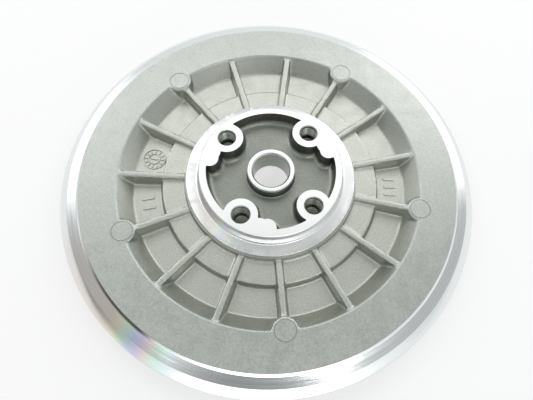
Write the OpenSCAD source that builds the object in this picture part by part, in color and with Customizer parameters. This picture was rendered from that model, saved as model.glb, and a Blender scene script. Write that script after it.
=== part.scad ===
// Flywheel for a small engine: a ribbed light-alloy disc casting, a heavy ring shrunk on its edge,
// a plain bush for the shaft and four threaded inserts in the hub's bolt bosses.
// +Z is the wheel's axis, out of the hub side. The origin is on the axis, on the rear face.

/* [Disc] */
// Height of the flat cast face above the rear face
face_z = 15; // [13:0.5:18]
// Radius of the disc, where the rim ring sits
disc_r = 95; // [93:0.5:97]
// Radius of the pocket ring at the cast face
pocket_r = 77; // [75:0.5:79]
// Radius of the pocket floor's outer edge
pocket_floor_r = 70; // [68:0.5:72]
// Height of the deep outer pocket floor
outer_floor_z = 6.9; // [6:0.1:8]
// Height of the raised inner pocket floor
inner_floor_z = 10.7; // [10:0.1:11.5]
// Radius of the step between the two floors
floor_step_r = 55.6; // [53:0.1:58]

/* [Ribs and pads] */
// Number of ribs; every third one ends in a pad
rib_count = 15; // [9:3:18]
// Direction of the first rib
rib_phase = 18.2; // [0:0.1:24]
// Width of a rib at its crest
rib_crest_w = 2.4; // [1.5:0.1:3.5]
// Width of a rib at its root
rib_root_w = 4.2; // [3.5:0.1:6]
// How far the crest lies below the cast face at the outer end
rib_drop_outer = 0.9; // [0.5:0.1:3]
// How far the crest lies below the cast face at the hub
rib_drop_inner = 2.4; // [1:0.1:4]
// Radius of an ejector pad
pad_r = 6.3; // [5.5:0.1:7]
// How far the pads lie below the cast face
pad_drop = 0.2; // [0.1:0.1:1]
// Distance of the pads from the axis
pad_centre_r = 77; // [75:0.5:78]

/* [Hub] */
// Height of the machined top face of the hub
hub_z = 23; // [22:0.5:25]
// Radius of the hub's top face
hub_top_r = 35.5; // [34.5:0.1:37]
// Height of the machined shoulder round the hub
shoulder_z = 16.2; // [15.6:0.1:17.5]
// Radius of the machined shoulder
shoulder_r = 42.8; // [41:0.1:44]
// Radius of the hollow inside the hub
hollow_r = 31.8; // [30:0.1:33]
// Height of the hollow's floor
hollow_floor_z = 15.5; // [14:0.1:18]
// Radius of a bolt boss
boss_r = 8.2; // [7.6:0.1:8.8]
// Distance of the bolt holes from the axis
bolt_r = 28.2; // [27:0.1:29]
// Directions of the four bolt holes
bolt_angles = [54.6, 149.4, 246.8, 323.7];
// Radius of the small lobe beside three of the bosses
lobe_r = 4; // [3:0.1:5]
// Distance of the lobes from the axis
lobe_centre_r = 31; // [30:0.1:32]
// Directions of the three lobes
lobe_angles = [27.4, 177.2, 274.3];

/* [Rim ring] */
// Outer radius of the wheel
rim_r = 106; // [104:0.5:110]
// Radius where the shallow bevel ends
bevel_r = 101.2; // [100:0.1:102]
// Height of the bevel's outer edge
bevel_z = 12.5; // [12:0.1:13]
// Height of the edge where the rim reaches its full radius
rim_edge_z = 8.5; // [7:0.1:10]

/* [Fittings] */
// Radius of the bore through the bush
bore_r = 9.05; // [8:0.05:9.5]
// Radius of the bush's sleeve
bush_r = 10.8; // [10.3:0.1:11]
// Radius of the bush's flange
flange_r = 11.7; // [11.4:0.1:12]
// Height of the bush's top face
bush_z = 21.8; // [21:0.1:22.5]
// Thickness of the bush's flange
flange_t = 1.5; // [1:0.1:2.5]
// Radius of an insert's thread, at its crests
thread_r = 4.25; // [3.5:0.05:4.5]
// Outer radius of an insert
insert_r = 5.9; // [5.5:0.1:6.2]
// Length of an insert
insert_l = 8; // [6:0.1:9]

/* [Rear side] */
// Height of the hub's rear face above the wheel's rear face
hub_rear_z = 8.6; // [8:0.1:9]
// Height of the web's rear face behind the inner floor
inner_rear_z = 6; // [5:0.1:6.5]
// Height of the web's rear face behind the outer floor
outer_rear_z = 2.2; // [1.5:0.1:3]
// Inner radius of the flat rear face
rear_face_r = 88.5; // [86:0.5:90]
// Height of the lip that locates the rim ring
lip_z = 3; // [2:0.5:4]

/* [Hidden] */

cast_colour = [0.68, 0.69, 0.67];
machined_colour = [0.86, 0.87, 0.88];
steel_colour = [0.78, 0.79, 0.80];

lip_r = disc_r + 2;
edge_drop = 1.35;
rear_chamfer = 1;
seat_z = bush_z - flange_t;
bore_chamfer = 0.5;
thread_chamfer = 0.45;
insert_z = hub_z - insert_l;
tail_r = 3.6;
tail_z = insert_z - 2.4;
neck_draft = 0.4;
neck_fillet = 1.6;
step_draft = 0.5;
hub_fillet = 2;
hub_wall_r = hub_top_r + 0.5;
collar_root_r = flange_r + 0.9;
rib_pitch = 360 / rib_count;
overlap = 0.5;
$fn = 96;

// Points of a concave quarter round, from straight below its centre to the centre's left
function fillet(cx, cz, r, n = 6) =
    [for (i = [0:n]) [cx + r * cos(270 - 90 * i / n), cz + r * sin(270 - 90 * i / n)]];

module cast_profile() {
    polygon(concat(
        [[bush_r, hub_rear_z], [33, hub_rear_z], [35, inner_rear_z], [54, inner_rear_z]],
        [[57, outer_rear_z], [rear_face_r - 1.5, outer_rear_z], [rear_face_r, 0]],
        [[lip_r, 0], [lip_r, lip_z], [disc_r, lip_z], [disc_r, face_z], [pocket_r, face_z]],
        [[pocket_floor_r, outer_floor_z], [floor_step_r + step_draft, outer_floor_z]],
        [[floor_step_r - step_draft, inner_floor_z]],
        fillet(shoulder_r + neck_draft + neck_fillet, inner_floor_z + neck_fillet, neck_fillet),
        [[shoulder_r, shoulder_z]],
        fillet(hub_wall_r + hub_fillet, shoulder_z + hub_fillet, hub_fillet),
        [[hub_top_r + 0.3, hub_z - 0.3], [hub_top_r, hub_z], [bush_r, hub_z]]
    ));
}

// The crest of every rib lies on this cone, which falls towards the hub
module rib_envelope() {
    inner_r = shoulder_r - overlap;
    rotate_extrude() polygon([
        [inner_r, inner_rear_z + 2], [pocket_r + overlap, inner_rear_z],
        [pocket_r + overlap, face_z - rib_drop_outer],
        [inner_r, face_z - rib_drop_inner]
    ]);
}

module rib() {
    length = pocket_r - shoulder_r;
    height = face_z - outer_floor_z + overlap;
    translate([shoulder_r - 0.4, 0, outer_floor_z - overlap])
        rotate([90, 0, 90])
            linear_extrude(length) polygon([
                [-rib_root_w / 2, 0], [rib_root_w / 2, 0],
                [rib_crest_w / 2, height], [-rib_crest_w / 2, height]
            ]);
}

module ribs() {
    intersection() {
        union() {
            for (i = [0:rib_count - 1]) rotate(rib_phase + i * rib_pitch) rib();
        }
        rib_envelope();
    }
}

// Round pads at the outer end of every third rib, where ejector pins pushed the casting out
module pads() {
    for (i = [2:3:rib_count - 1])
        rotate(rib_phase + i * rib_pitch)
            translate([pad_centre_r, 0, outer_floor_z - overlap])
                cylinder(h = face_z - pad_drop - outer_floor_z + overlap, r1 = pad_r + 0.5, r2 = pad_r);
}

// The space inside the hub, round the bolt bosses, the lobes and the tapered collar
module hollow() {
    difference() {
        translate([0, 0, hollow_floor_z])
            linear_extrude(hub_z - hollow_floor_z + 1)
                difference() {
                    circle(hollow_r);
                    for (a = bolt_angles) rotate(a) translate([bolt_r, 0]) circle(boss_r);
                    for (a = lobe_angles) rotate(a) translate([lobe_centre_r, 0]) circle(lobe_r);
                }
        translate([0, 0, hollow_floor_z - overlap])
            cylinder(h = seat_z - hollow_floor_z + overlap, r1 = collar_root_r, r2 = flange_r);
    }
}

module bolt_hole() {
    translate([0, 0, insert_z]) cylinder(h = insert_l + 1, r = insert_r);
    translate([0, 0, tail_z]) cylinder(h = insert_z - tail_z + 1, r = tail_r);
}

module disc_casting() color(cast_colour) {
    difference() {
        union() {
            rotate_extrude() cast_profile();
            ribs();
            pads();
        }
        hollow();
        for (a = bolt_angles) rotate(a) translate([bolt_r, 0, 0]) bolt_hole();
    }
}

module rim_ring() color(machined_colour)
    rotate_extrude() polygon([
        [lip_r, 0], [rim_r - rear_chamfer, 0], [rim_r, rear_chamfer], [rim_r, rim_edge_z],
        [bevel_r, bevel_z], [disc_r + edge_drop, face_z - edge_drop], [disc_r, face_z],
        [disc_r, lip_z], [lip_r, lip_z]
    ]);

module centre_bush() color(steel_colour)
    rotate_extrude() polygon([
        [bore_r + bore_chamfer, hub_rear_z], [bush_r, hub_rear_z], [bush_r, seat_z],
        [flange_r, seat_z], [flange_r, bush_z - 0.2], [flange_r - 0.2, bush_z],
        [bore_r + bore_chamfer, bush_z], [bore_r, bush_z - bore_chamfer],
        [bore_r, hub_rear_z + bore_chamfer]
    ]);

module thread_insert(i) color(steel_colour)
    rotate(bolt_angles[i]) translate([bolt_r, 0, 0])
        rotate_extrude() polygon([
            [thread_r, insert_z], [insert_r, insert_z], [insert_r, hub_z],
            [thread_r + thread_chamfer, hub_z], [thread_r, hub_z - thread_chamfer]
        ]);

disc_casting();
rim_ring();
centre_bush();
thread_insert(0);  // thread_insert_1
thread_insert(1);  // thread_insert_2
thread_insert(2);  // thread_insert_3
thread_insert(3);  // thread_insert_4
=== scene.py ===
import math
import bpy
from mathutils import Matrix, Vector


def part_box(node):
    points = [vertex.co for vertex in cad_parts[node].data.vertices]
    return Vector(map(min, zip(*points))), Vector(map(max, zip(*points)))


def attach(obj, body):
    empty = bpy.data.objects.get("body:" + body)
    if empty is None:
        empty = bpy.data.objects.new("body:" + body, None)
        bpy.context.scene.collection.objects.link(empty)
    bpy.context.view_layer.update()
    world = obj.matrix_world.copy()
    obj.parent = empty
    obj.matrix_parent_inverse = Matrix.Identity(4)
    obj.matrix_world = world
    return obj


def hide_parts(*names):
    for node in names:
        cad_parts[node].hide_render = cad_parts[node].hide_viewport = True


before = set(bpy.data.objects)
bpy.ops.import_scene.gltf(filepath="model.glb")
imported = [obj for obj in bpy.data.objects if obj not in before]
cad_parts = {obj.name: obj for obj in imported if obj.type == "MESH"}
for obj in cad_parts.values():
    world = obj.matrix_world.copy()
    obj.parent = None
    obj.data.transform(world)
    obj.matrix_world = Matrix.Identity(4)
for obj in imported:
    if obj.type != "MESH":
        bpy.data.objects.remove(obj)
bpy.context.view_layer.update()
mm = 0.001

# ---- Rim ring -----------------------------------------------------------------------------
# A heavy ring turned all over and shrunk on the edge of the casting. Its upper side has a short
# chamfer at the joint, a shallow bevel with fine turning marks, and a steeper outer band.

def softened(corners, steps=4):
    """The outline with an arc in place of each corner that has a radius: corners are (r, z, radius) in mm."""
    points = []
    for i, (r, z, radius) in enumerate(corners):
        here = Vector((r, z))
        if radius == 0:
            points.append(here)
            continue
        back = (Vector(corners[i - 1][:2]) - here).normalized()
        ahead = (Vector(corners[(i + 1) % len(corners)][:2]) - here).normalized()
        half = back.angle(ahead) / 2
        centre = here + (back + ahead).normalized() * radius / math.sin(half)
        start = (here + back * radius / math.tan(half) - centre).normalized()
        end = (here + ahead * radius / math.tan(half) - centre).normalized()
        turn = start.angle(end)
        for k in range(steps + 1):
            t = k / steps
            spoke = start * math.sin((1 - t) * turn) + end * math.sin(t * turn)
            points.append(centre + spoke * radius / math.sin(turn))
    return points


def turned(name, outline, steps):
    """A solid of revolution about Z: the outline is drawn corner by corner and spun."""
    bpy.ops.object.select_all(action="DESELECT")
    bpy.ops.mesh.primitive_plane_add(size=mm)
    piece = bpy.context.object
    piece.name = name
    bpy.ops.object.mode_set(mode="EDIT")
    bpy.ops.mesh.merge(type="CENTER")
    bpy.ops.transform.translate(value=(outline[0][0] * mm, 0, outline[0][1] * mm))
    for a, b in zip(outline, outline[1:] + outline[:1]):
        step = ((b[0] - a[0]) * mm, 0, (b[1] - a[1]) * mm)
        bpy.ops.mesh.extrude_vertices_move(TRANSFORM_OT_translate={"value": step})
    bpy.ops.mesh.select_all(action="SELECT")
    bpy.ops.mesh.spin(steps=steps, angle=math.tau, center=(0, 0, 0), axis=(0, 0, 1))
    bpy.ops.mesh.select_all(action="SELECT")
    bpy.ops.mesh.remove_doubles(threshold=0.002 * mm)
    bpy.ops.mesh.delete_loose()
    bpy.ops.mesh.select_all(action="SELECT")
    bpy.ops.mesh.normals_make_consistent(inside=False)
    bpy.ops.object.mode_set(mode="OBJECT")
    return piece


def shaded(piece, degrees):
    """Smooth shading, with edges sharper than this angle kept crisp."""
    bpy.ops.object.select_all(action="DESELECT")
    piece.select_set(True)
    bpy.context.view_layer.objects.active = piece
    bpy.ops.object.shade_smooth_by_angle(angle=math.radians(degrees))


class Wire:
    """One output of a material's nodes, so that shader maths is written as plain sums."""

    def __init__(self, finish, socket):
        self.finish = finish
        self.socket = socket

    def sum(self, operation, *parts):
        return self.finish.node("ShaderNodeMath", {"operation": operation}, dict(enumerate(parts)))

    def __add__(self, other):
        return self.sum("ADD", self, other)

    def __sub__(self, other):
        return self.sum("SUBTRACT", self, other)

    def __rsub__(self, other):
        return self.sum("SUBTRACT", other, self)

    def __mul__(self, other):
        return self.sum("MULTIPLY", self, other)

    __radd__ = __add__
    __rmul__ = __mul__


class Finish:
    """A material with one Principled shader."""

    def __init__(self, name, **uniform):
        self.material = bpy.data.materials.new(name)
        self.material.use_nodes = True
        self.tree = self.material.node_tree
        self.shader = self.tree.nodes["Principled BSDF"]
        for socket, value in uniform.items():
            self.shader.inputs[socket.replace("_", " ")].default_value = value
        self.place = self.node("ShaderNodeTexCoord", output="Object")

    def node(self, kind, settings=None, inputs=None, output=0):
        node = self.tree.nodes.new(kind)
        for key, value in (settings or {}).items():
            if key == "stops":
                ramp = node.color_ramp
                while len(ramp.elements) < len(value):
                    ramp.elements.new(0.5)
                for element, (at, colour) in zip(ramp.elements, value):
                    element.position = at
                    element.color = (*colour, 1)
            else:
                setattr(node, key, value)
        for key, value in (inputs or {}).items():
            self.feed(node.inputs[key], value)
        return Wire(self, node.outputs[output])

    def feed(self, socket, value):
        if isinstance(value, Wire):
            self.tree.links.new(value.socket, socket)
        else:
            socket.default_value = value

    def shade(self, **inputs):
        for socket, value in inputs.items():
            self.feed(self.shader.inputs[socket.replace("_", " ")], value)

    def noise(self, scale, detail=2.0, vector=None, output=0, **more):
        inputs = {"Vector": vector or self.place, "Scale": scale, "Detail": detail, **more}
        return self.node("ShaderNodeTexNoise", {}, inputs, output)

    def steps(self, value, low, high, to_low=0.0, to_high=1.0):
        """The value mapped smoothly from low..high to to_low..to_high."""
        settings = {"interpolation_type": "SMOOTHSTEP"}
        inputs = {"Value": value, "From Min": low, "From Max": high, "To Min": to_low, "To Max": to_high}
        return self.node("ShaderNodeMapRange", settings, inputs)

    def mixed(self, factor, a, b):
        inputs = {0: factor, 6: a, 7: b}
        return self.node("ShaderNodeMix", {"data_type": "RGBA"}, inputs, output=2)

    def radius(self):
        """Distance from the wheel's axis."""
        flat = self.node("ShaderNodeVectorMath", {"operation": "MULTIPLY"}, {0: self.place, 1: (1, 1, 0)})
        return self.node("ShaderNodeVectorMath", {"operation": "LENGTH"}, {0: flat}, output="Value")

    def bump(self, height, distance, strength=1.0, normal=None):
        inputs = {"Height": height, "Distance": distance, "Strength": strength}
        if normal:
            inputs["Normal"] = normal
        return self.node("ShaderNodeBump", {}, inputs)


def turned_metal(name, tint, roughness, groove, depth, painted_rainbow_strength=0.9):
    """Lathe-turned metal: fine grooves round the axis, which spread the gloss across them, with a painted
    rainbow reflection in faint colours laid over one fixed stretch of the turn."""
    metal = Finish(name, Metallic=1.0, Anisotropic=0.9)
    radius = metal.radius()
    grooves = metal.node(
        "ShaderNodeTexNoise", {"noise_dimensions": "1D"},
        {"W": radius * (1 / groove), "Scale": 1.0, "Detail": 3.0, "Roughness": 0.65})
    wide = metal.node(
        "ShaderNodeTexNoise", {"noise_dimensions": "1D"},
        {"W": radius * (0.16 / groove), "Scale": 1.0, "Detail": 1.0})
    cloud = metal.noise(45.0, 3.0)
    turn = metal.node("ShaderNodeTexGradient", {"gradient_type": "RADIAL"}, {"Vector": metal.place})
    # Painted rainbow reflection: faint colours and a brownish patch over one fixed stretch of the turn,
    # multiplied into the base colour.
    painted_rainbow_reflection = metal.node("ShaderNodeValToRGB", {"stops": [
        (0.06, (1, 1, 1)), (0.085, (1, 0.93, 0.9)), (0.143, (0.93, 0.82, 0.74)), (0.152, (1, 0.9, 0.7)),
        (0.158, (0.8, 1, 0.78)), (0.165, (0.72, 0.82, 1)), (0.173, (0.86, 0.74, 1)), (0.18, (1, 0.85, 0.8)),
        (0.187, (0.82, 1, 0.86)), (0.195, (0.9, 0.98, 1)), (0.205, (1, 0.96, 0.96)), (0.215, (1, 1, 1))]},
        {"Fac": turn + cloud * 0.012 - 0.006})
    dull = tuple(0.88 * c for c in tint)
    colour = metal.mixed(metal.steps(grooves, 0.3, 0.7), (*dull, 1), (*tint, 1))
    colour = metal.node(
        "ShaderNodeMix", {"data_type": "RGBA", "blend_type": "MULTIPLY"},
        {0: painted_rainbow_strength, 6: colour, 7: painted_rainbow_reflection}, output=2)
    metal.colour = colour
    metal.shade(
        Base_Color=colour,
        Roughness=metal.steps(wide * 0.5 + cloud * 0.5, 0.35, 0.65, roughness * 0.8, roughness * 1.25),
        Normal=metal.bump(grooves, depth, 0.6))
    return metal


rim_low, rim_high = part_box("rim_ring")
casting_low, casting_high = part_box("disc_casting")
rim_r = rim_high[0] / mm
seat_r = 95.0
seat_lip = 97.0
face_z = rim_high[2] / mm
rim_outline = softened([
    (seat_lip, 0, 0), (rim_r - 1, 0, 0.3), (rim_r, 1, 0.3), (rim_r, face_z - 6.5, 1.2),
    (101.2, face_z - 2.5, 0.35), (96.4, face_z - 1.35, 0.2), (seat_r + 0.08, face_z - 0.05, 0),
    (seat_r, face_z - 0.2, 0), (seat_r, 3, 0), (seat_lip, 3, 0)])
rim = turned("turned_rim", rim_outline, 360)
shaded(rim, 25)
rim_metal = turned_metal("turned_rim_metal", (0.86, 0.88, 0.89), 0.17, 0.35 * mm, 0.003 * mm)
# Painted dark reflection in the joint with the casting, on one side of the wheel.
joint = rim_metal.steps(rim_metal.radius(), 96.5 * mm, 96.1 * mm)
turn = rim_metal.node("ShaderNodeTexGradient", {"gradient_type": "RADIAL"}, {"Vector": rim_metal.place})
joint_dark_reflection = joint * rim_metal.steps(turn, 0.06, 0.13) * rim_metal.steps(turn, 0.185, 0.165)
rim_metal.shade(Base_Color=rim_metal.mixed(joint_dark_reflection * 0.93, rim_metal.colour, (0.05, 0.05, 0.045, 1)))
rim.data.materials.append(rim_metal.material)
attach(rim, "root")
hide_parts("rim_ring")


# ---- Disc casting -------------------------------------------------------------------------
# One die casting in light alloy: flat outer face, ribbed and stepped pocket ring, ejector pads, hub
# with a shallow hollow and four bolt bosses. Cast edges and feet are round. The hub's faces, the
# ring's seat, the bore and the bolt holes are then machined, which leaves crisp edges.

def modified(piece, kind, **settings):
    """Adds one modifier to the piece and applies it."""
    bpy.ops.object.select_all(action="DESELECT")
    piece.select_set(True)
    bpy.context.view_layer.objects.active = piece
    modifier = piece.modifiers.new(kind.lower(), kind)
    for key, value in settings.items():
        setattr(modifier, key, value)
    bpy.ops.object.modifier_apply(modifier=modifier.name)


def cut(piece, tool):
    """Takes the tool's shape out of the piece and throws the tool away."""
    modified(piece, "BOOLEAN", operation="DIFFERENCE", solver="MANIFOLD", object=tool)
    bpy.data.objects.remove(tool)


def cone(name, low_r, high_r, low_z, high_z, at=(0, 0), vertices=96):
    """A round, tapered solid that stands on low_z, in mm."""
    bpy.ops.object.select_all(action="DESELECT")
    bpy.ops.mesh.primitive_cone_add(
        vertices=vertices, radius1=low_r * mm, radius2=high_r * mm, depth=(high_z - low_z) * mm,
        location=(at[0] * mm, at[1] * mm, (low_z + high_z) / 2 * mm))
    piece = bpy.context.object
    piece.name = name
    bpy.ops.object.transform_apply()
    return piece


def placed(piece, at, z=0):
    """Moves the piece to that place, in mm, with its origin left on the axis."""
    piece.location = (at[0] * mm, at[1] * mm, z * mm)
    bpy.ops.object.select_all(action="DESELECT")
    piece.select_set(True)
    bpy.context.view_layer.objects.active = piece
    bpy.ops.object.transform_apply()
    return piece


def ring_of(piece, count, phase):
    """Turns the piece by phase degrees about the axis and repeats it evenly all round."""
    piece.rotation_euler.z = math.radians(phase)
    bpy.ops.object.select_all(action="DESELECT")
    piece.select_set(True)
    bpy.context.view_layer.objects.active = piece
    bpy.ops.object.transform_apply()
    bpy.ops.object.mode_set(mode="EDIT")
    bpy.ops.mesh.select_all(action="SELECT")
    bpy.ops.mesh.spin(
        steps=count - 1, dupli=True, angle=math.tau * (count - 1) / count, center=(0, 0, 0), axis=(0, 0, 1))
    bpy.ops.object.mode_set(mode="OBJECT")


def joined(first, *others):
    """Joins the others into the first piece."""
    bpy.ops.object.select_all(action="DESELECT")
    for piece in others:
        piece.select_set(True)
    first.select_set(True)
    bpy.context.view_layer.objects.active = first
    bpy.ops.object.join()


def around(radius, degrees):
    """A point that far from the axis, in that direction."""
    return radius * math.cos(math.radians(degrees)), radius * math.sin(math.radians(degrees))


hub_z = casting_high[2] / mm
outer_floor = face_z - 8.1
hub_underside = 8.6
insert_seat = 15.0
insert_r = 5.9
inner_floor = face_z - 4.3
casting_outline = softened([
    (0, hub_underside, 0), (33, hub_underside, 0.8), (35, 6, 0.8), (54, 6, 1.5), (57, 2.2, 1.5),
    (87, 2.2, 0.8),
    (88.3, -1, 0), (98, -1, 0), (98, face_z, 0), (77.1, face_z, 0.2), (70.2, outer_floor, 0.5),
    (56.0, outer_floor, 0.3), (55.2, inner_floor, 0.2), (43.6, inner_floor, 0.8), (43.2, 17.6, 0),
    (39, 17.6, 0), (38, hub_z + 1, 0), (0, hub_z + 1, 0)])
casting = turned("cast_disc", casting_outline, 240)

rib_from, rib_to = 40.0, 78.0
rib_root, rib_crest = 5.0, 3.0
bpy.ops.object.select_all(action="DESELECT")
bpy.ops.mesh.primitive_cube_add(size=mm, location=((rib_from + rib_to) / 2 * mm, 0, (face_z - 5) * mm))
ribs = bpy.context.object
ribs.scale = (rib_to - rib_from, rib_root, 8)
bpy.ops.object.transform_apply()
for corner in ribs.data.vertices:
    if corner.co.z > (face_z - 5) * mm:
        outer = corner.co.x > (rib_from + rib_to) / 2 * mm
        corner.co.y *= rib_crest / rib_root
        corner.co.z = (face_z - (0.6 if outer else 2.3)) * mm
rib_phase = 18.2
pad_phase = rib_phase + 48
ring_of(ribs, 15, rib_phase)

pad_at = 77.0
pads = cone("pads", 6.9, 6.3, outer_floor - 1, face_z - 0.02, (pad_at, 0))
ring_of(pads, 5, pad_phase)
joined(casting, ribs, pads)
modified(casting, "REMESH", mode="VOXEL", voxel_size=0.5 * mm)
modified(casting, "SMOOTH", factor=0.5, iterations=5)

hollow_floor = 15.5
foot_fillet = 3.0
bolt_at = 28.2
bolt_angles = (54.6, 149.4, 246.8, 323.7)
lobe_at = 30.7
lobe_angles = (27.4, 34.0, 170.2, 177.2, 267.5, 274.3)
hollow = turned("hollow", softened([
    (0, hollow_floor, 0), (31.6, hollow_floor, foot_fillet),
    (32.2, hub_z + 3, 0), (0, hub_z + 3, 0)], 6), 192)
placed(hollow, (0.1, 0.3))


def footed(name, foot_r, top_r, fillet, at=(0, 0)):
    """A round post in the hollow that widens into the floor."""
    below = hollow_floor - 0.05
    post = turned(name, softened([
        (0, below - 2, 0), (foot_r + fillet + 2, below - 2, 0), (foot_r + fillet + 2, below, 0),
        (foot_r, below, fillet), (top_r, hub_z + 4, 0), (0, hub_z + 4, 0)], 6), 96)
    return placed(post, at)


for angle in bolt_angles:
    cut(hollow, footed("boss", 8.6, 8.0, foot_fillet, around(bolt_at, angle)))
for angle in lobe_angles:
    cut(hollow, footed("lobe", 4.6, 4.0, foot_fillet, around(lobe_at, angle)))
cut(hollow, footed("collar", 11.9, 11.6, 0.8))
modified(hollow, "REMESH", mode="VOXEL", voxel_size=0.4 * mm)
modified(hollow, "SMOOTH", factor=0.5, iterations=5)
cut(casting, hollow)

flange_seat = 20.3
hub_tool = turned("hub_tool", softened([
    (0, 0, 0), (10.8, 0, 0), (10.8, flange_seat, 0), (13.5, flange_seat, 0), (13.5, hub_z, 0),
    (35.15, hub_z, 0), (35.5, hub_z - 0.35, 0), (36.0, 16.6, 2.2), (42.6, 15.8, 0.25), (42.6, 14.2, 0),
    (46, 14.2, 0), (46, 30, 0),
    (0, 30, 0)], 8), 240)
cut(casting, hub_tool)
seat_tool = turned("seat_tool", [
    (seat_r, 3), (seat_r, 17), (100, 17), (100, -3), (seat_lip, -3), (seat_lip, 3)], 360)
cut(casting, seat_tool)
cut(casting, cone("rear_tool", 120, 120, -3, 0))
drills = []
for angle in bolt_angles:
    drill = turned("drill", [
        (0, 11.2), (3.6, 12.6), (3.6, insert_seat), (insert_r, insert_seat), (insert_r, 25), (0, 25)], 64)
    drills.append(placed(drill, around(bolt_at, angle)))
for k in range(5):
    mark = turned("pin_mark", [
        (4.7, face_z + 0.3), (4.9, face_z - 0.2), (5.1, face_z - 0.2), (5.3, face_z + 0.3)], 64)
    drills.append(placed(mark, around(pad_at, pad_phase + 72 * k)))
joined(*drills)
cut(casting, drills[0])
modified(casting, "DECIMATE", ratio=0.3)

relief = []
relief_at = 63.0
dial_angle = 174.9
dial = around(relief_at, dial_angle)
for low_r, high_r in ((5.5, 6.0), (2.7, 3.1)):
    circle = turned("dial_ring", [
        (low_r, outer_floor - 0.5), (high_r, outer_floor - 0.5), (high_r, outer_floor + 0.4),
        (low_r, outer_floor + 0.4)], 48)
    relief.append(placed(circle, dial))
ticks = [(*[c + 4.3 * d for c, d in zip(dial, around(1, 30 * k))], 1.4, 0.6, 30 * k) for k in range(12)]
ticks += [(dial[0], dial[1], 3.6, 0.7, dial_angle)]
ticks += [(*around(relief_at, 198.3 + d), 6.2, 1.3, 198.3) for d in (-2.4, 2.4)]
ticks += [(*around(relief_at, 5.8 + d), 6.0, 1.3, 5.8) for d in (-4, 0, 4)]
for x, y, length, width, turn in ticks:
    bpy.ops.mesh.primitive_cube_add(size=mm, location=(x * mm, y * mm, outer_floor * mm))
    bar = bpy.context.object
    bar.scale = (length, width, 0.8)
    bar.rotation_euler.z = math.radians(turn)
    relief.append(placed(bar, (x, y), outer_floor))
joined(casting, *relief)
shaded(casting, 35)

skin = Finish("cast_alloy_skin", Metallic=1.0)
grain = skin.noise(1300.0, 2.0, Roughness=0.6)
fine = skin.noise(3400.0, 1.0)
blotch = skin.noise(160.0, 3.0)
tone = skin.steps(grain * 0.6 + fine * 0.4, 0.3, 0.7)
height = skin.node("ShaderNodeSeparateXYZ", {}, {"Vector": skin.place}, output="Z")
deep = skin.steps(height, (face_z - 0.5) * mm, (face_z - 3) * mm)
face_tint = skin.mixed(tone, (0.46, 0.485, 0.45, 1), (0.61, 0.635, 0.60, 1))
deep_tint = skin.mixed(tone, (0.49, 0.505, 0.455, 1), (0.66, 0.67, 0.615, 1))
# Painted shade in the hub's hollow: its floor darker than the outer face, and its walls darker than its
# floor, chosen by which way each face points.
inside_hub = skin.steps(skin.radius(), 33.5 * mm, 33 * mm) * skin.steps(height, 10 * mm, 11 * mm)
upright = skin.node("ShaderNodeSeparateXYZ", {}, {
    "Vector": skin.node("ShaderNodeNewGeometry", output="Normal")}, output="Z")
hollow_wall_painted_shade = skin.mixed(tone, (0.14, 0.149, 0.13, 1), (0.24, 0.255, 0.22, 1))
hollow_floor_painted_shade = skin.mixed(tone, (0.25, 0.265, 0.24, 1), (0.35, 0.365, 0.33, 1))
hollow_painted_shade = skin.mixed(skin.steps(upright, 0.3, 0.9), hollow_wall_painted_shade, hollow_floor_painted_shade)
colour = skin.mixed(inside_hub, skin.mixed(deep, face_tint, deep_tint), hollow_painted_shade)
# Painted shade on steep walls outside the hub's hollow, mixed up to 18 percent towards dark grey.
steep_wall_painted_shade = skin.steps(upright, 0.99, 0.8, 0.0, 0.18)
colour = skin.mixed(steep_wall_painted_shade * (1 - inside_hub), colour, (0.1, 0.12, 0.11, 1))
# Painted shade in concave corners and creases, from a local occlusion test within 2.5 mm.
crevice_painted_shade = skin.node(
    "ShaderNodeAmbientOcclusion", {"samples": 8, "only_local": True}, {"Distance": 2.5 * mm}, output="AO")
colour = skin.mixed(skin.steps(crevice_painted_shade, 0.35, 0.8, 0.45, 1.0), (0.05, 0.055, 0.05, 1), colour)
skin.shade(
    Base_Color=colour,
    Roughness=skin.steps(blotch * 0.6 + grain * 0.4, 0.35, 0.65, 0.36, 0.46),
    Normal=skin.bump(grain * 0.7 + fine * 0.3, 0.05 * mm, 0.9))
casting.data.materials.clear()
casting.data.materials.append(skin.material)
hub_metal = turned_metal("turned_hub_metal", (0.95, 0.96, 0.955), 0.28, 0.3 * mm, 0.003 * mm, 0.35)
casting.data.materials.append(hub_metal.material)
faced = Finish("faced_metal", Metallic=1.0, Anisotropic=0.3)
swirl = faced.node(
    "ShaderNodeTexNoise", {"noise_dimensions": "1D"},
    {"W": faced.radius() * 3000, "Scale": 1.0, "Detail": 3.0})
faced.shade(
    Base_Color=faced.mixed(faced.steps(swirl, 0.3, 0.7), (0.97, 0.98, 0.97, 1), (1, 1, 1, 1)),
    Roughness=faced.steps(swirl, 0.3, 0.7, 0.36, 0.46),
    Normal=faced.bump(swirl, 0.002 * mm, 0.5))
casting.data.materials.append(faced.material)
for face in casting.data.polygons:
    centre = face.center / mm
    radius = math.hypot(centre.x, centre.y)
    if centre.z > hub_z - 0.01:
        face.material_index = 2
    elif centre.z > 14.25 and 35.0 < radius < 42.7:
        face.material_index = 1
    elif face.normal.z < -0.99 and (centre.z < 0.01 or centre.z > 8.55):
        face.material_index = 1
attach(casting, "root")
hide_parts("disc_casting")


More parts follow.
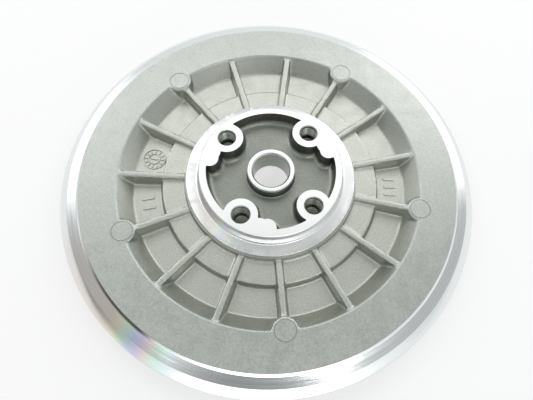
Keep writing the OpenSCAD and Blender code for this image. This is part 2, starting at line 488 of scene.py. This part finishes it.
# ---- Centre bush --------------------------------------------------------------------------
# A plain steel bush with a thin flange, turned and bored, pressed into the casting's collar.
bush_r, sleeve_r, flange_r = 9.05, 10.8, 11.7
bush_low, bush_high = hub_underside, 21.8
bush = turned("steel_bush", softened([
    (bush_r, bush_low + 0.5, 0.1), (bush_r + 0.5, bush_low, 0.1), (sleeve_r, bush_low, 0.3),
    (sleeve_r, flange_seat, 0), (flange_r, flange_seat, 0), (flange_r, bush_high, 0.3),
    (bush_r + 0.75, bush_high, 0.1), (bush_r, bush_high - 0.75, 0.1)]), 128)
shaded(bush, 25)
bush_metal = turned_metal("bush_steel_turned", (0.84, 0.85, 0.84), 0.24, 0.25 * mm, 0.003 * mm, 0.0)
# Painted shade inside the bore: the bore wall is dark grey-green in faint bands, while the rest of the bush
# keeps its light steel tone.
bore = bush_metal.steps(bush_metal.radius(), (bush_r + 0.05) * mm, (bush_r + 0.25) * mm)
turns = bush_metal.node("ShaderNodeTexNoise", {"noise_dimensions": "1D"}, {
    "W": bush_metal.node("ShaderNodeSeparateXYZ", {}, {"Vector": bush_metal.place}, output="Z"),
    "Scale": 2200.0})
bore_painted_shade = bush_metal.mixed(bush_metal.steps(turns, 0.3, 0.7), (0.2, 0.225, 0.195, 1), (0.33, 0.365, 0.32, 1))
bush_metal.shade(Base_Color=bush_metal.mixed(bore, bore_painted_shade, (0.84, 0.85, 0.84, 1)))
bush.data.materials.append(bush_metal.material)
bush.data.materials.append(faced.material)
for face in bush.data.polygons:
    if face.normal.z > 0.9 and face.center.z > (bush_high - 0.1) * mm:
        face.material_index = 1
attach(bush, "root")
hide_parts("centre_bush")


# ---- Thread inserts -----------------------------------------------------------------------
# Four steel sleeves with an inside thread, screwed into the bolt bosses flush with the hub face.
# One is modelled and copied to the other three holes.
crest_r, root_r, pitch = 4.25, 5.0, 1.5
insert_low, insert_high = insert_seat, hub_z
inside = [(crest_r, insert_low + 0.02)]
z = insert_low + 0.3
while z + pitch < insert_high - 0.6:
    inside += [(crest_r, z + 0.2), (root_r, z + 0.75), (root_r, z + 0.95), (crest_r, z + 1.4)]
    z += pitch
inside += [(crest_r, insert_high - 0.55), (crest_r + 0.5, insert_high)]
insert = turned("thread_sleeve_1", [(insert_r, insert_high), (insert_r, insert_low + 0.02), *inside], 64)
shaded(insert, 25)
dark = Finish("insert_steel_dark", Metallic=1.0)
stain = dark.noise(900.0, 3.0)
dark.shade(
    Base_Color=dark.mixed(dark.steps(stain, 0.35, 0.65), (0.36, 0.4, 0.35, 1), (0.52, 0.55, 0.5, 1)),
    Roughness=dark.steps(stain, 0.3, 0.7, 0.3, 0.5),
    Normal=dark.bump(stain, 0.03 * mm, 0.6))
insert.data.materials.append(dark.material)
insert.data.materials.append(faced.material)
for face in insert.data.polygons:
    if face.normal.z > 0.9:
        face.material_index = 1
inserts = [insert]
for k in range(1, 4):
    bpy.ops.object.select_all(action="DESELECT")
    insert.select_set(True)
    bpy.context.view_layer.objects.active = insert
    bpy.ops.object.duplicate()
    inserts.append(bpy.context.object)
for k, (sleeve, angle) in enumerate(zip(inserts, bolt_angles)):
    sleeve.name = f"thread_sleeve_{k + 1}"
    placed(sleeve, around(bolt_at, angle))
    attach(sleeve, "root")
    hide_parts(f"thread_insert_{k + 1}")


# ---- Studio -------------------------------------------------------------------------------
# The wheel lies face up on a pale table. The camera stands close to it, in front and above.
camera_data = bpy.data.cameras.new("camera")
camera_data.sensor_width = 36.0
camera_data.lens = 29.65
camera_data.shift_x = -0.0355
camera_data.shift_y = 0.0365
camera_data.clip_start = 0.01
camera = bpy.data.objects.new("camera", camera_data)
camera.location = (0.0101, -0.1014, 0.2149)
camera.rotation_mode = "ZYX"
camera.rotation_euler = (math.radians(21.54), 0, math.radians(7.13))
bpy.context.scene.collection.objects.link(camera)
bpy.context.scene.camera = camera

bpy.ops.object.select_all(action="DESELECT")
bpy.ops.mesh.primitive_plane_add(size=3, location=(0, 0, -0.2 * mm))
floor = bpy.context.object
floor.name = "floor"
paint = Finish("table_white", Roughness=0.9)
paint.shade(Base_Color=(0.5, 0.5, 0.5, 1), Emission_Color=(1, 1, 1, 1))
paint.shader.inputs["Emission Strength"].default_value = 0.5
under = paint.node("ShaderNodeNewGeometry", output="Backfacing")
clear = paint.node("ShaderNodeBsdfTransparent")
sheet = paint.node("ShaderNodeMixShader", {}, {0: under, 1: Wire(paint, paint.shader.outputs[0]), 2: clear})
paint.feed(paint.tree.nodes["Material Output"].inputs["Surface"], sheet)
floor.data.materials.append(paint.material)

world = bpy.data.worlds.new("studio")
bpy.context.scene.world = world
world.use_nodes = True
nodes, links = world.node_tree.nodes, world.node_tree.links
direction = nodes.new("ShaderNodeTexCoord")
height = nodes.new("ShaderNodeSeparateXYZ")
links.new(direction.outputs["Generated"], height.inputs[0])


def faded(value, low, high, to_low, to_high):
    """The value mapped smoothly from low..high to to_low..to_high, in the room's own light."""
    fade = nodes.new("ShaderNodeMapRange")
    fade.interpolation_type = "SMOOTHSTEP"
    links.new(value, fade.inputs["Value"])
    for socket, number in zip(("From Min", "From Max", "To Min", "To Max"), (low, high, to_low, to_high)):
        fade.inputs[socket].default_value = number
    return fade.outputs[0]


room = faded(height.outputs["Z"], 0.1, 0.6, 1.05, 0.55)
for shade, width, left in (
        ((0, -0.8, 0.6), 0.82, 0.35), ((-0.96, -0.25, 0.1), 0.75, 0.3), ((1, 0, 0.1), 0.8, 0.75),
        ((0.15, -1, 0.05), 0.8, 2.6)):
    aim = nodes.new("ShaderNodeVectorMath")
    aim.operation = "DOT_PRODUCT"
    aim.inputs[1].default_value = shade
    links.new(direction.outputs["Generated"], aim.inputs[0])
    product = nodes.new("ShaderNodeMath")
    product.operation = "MULTIPLY"
    links.new(room, product.inputs[0])
    links.new(faded(aim.outputs["Value"], width, 0.98, 1.0, left), product.inputs[1])
    room = product.outputs[0]
nodes["Background"].inputs["Color"].default_value = (0.97, 1.0, 0.99, 1)
links.new(room, nodes["Background"].inputs["Strength"])


def softbox(name, size, azimuth, elevation, brightness, distance=0.8):
    """A white rectangular lamp aimed at the wheel, from that direction in degrees."""
    lamp = bpy.data.lights.new(name, "AREA")
    lamp.shape = "RECTANGLE"
    lamp.size, lamp.size_y = size
    lamp.energy = brightness * math.pi * size[0] * size[1]
    holder = bpy.data.objects.new(name, lamp)
    a, e = math.radians(azimuth), math.radians(elevation)
    holder.location = Vector((math.cos(a) * math.cos(e), math.sin(a) * math.cos(e), math.sin(e))) * distance
    holder.rotation_euler = holder.location.to_track_quat("Z", "Y").to_euler()
    holder.visible_camera = False
    bpy.context.scene.collection.objects.link(holder)


softbox("right_back", (0.55, 0.42), 52, 30, 1.35)
softbox("left_back", (0.42, 0.42), 152, 35, 1.5)
softbox("above_back", (0.7, 0.45), 95, 52, 0.95)
softbox("left", (0.27, 0.2), 220, 58, 1.6)
softbox("front_right", (0.1, 0.1), -51, 57, 18)

bpy.context.scene.view_settings.view_transform = "Standard"
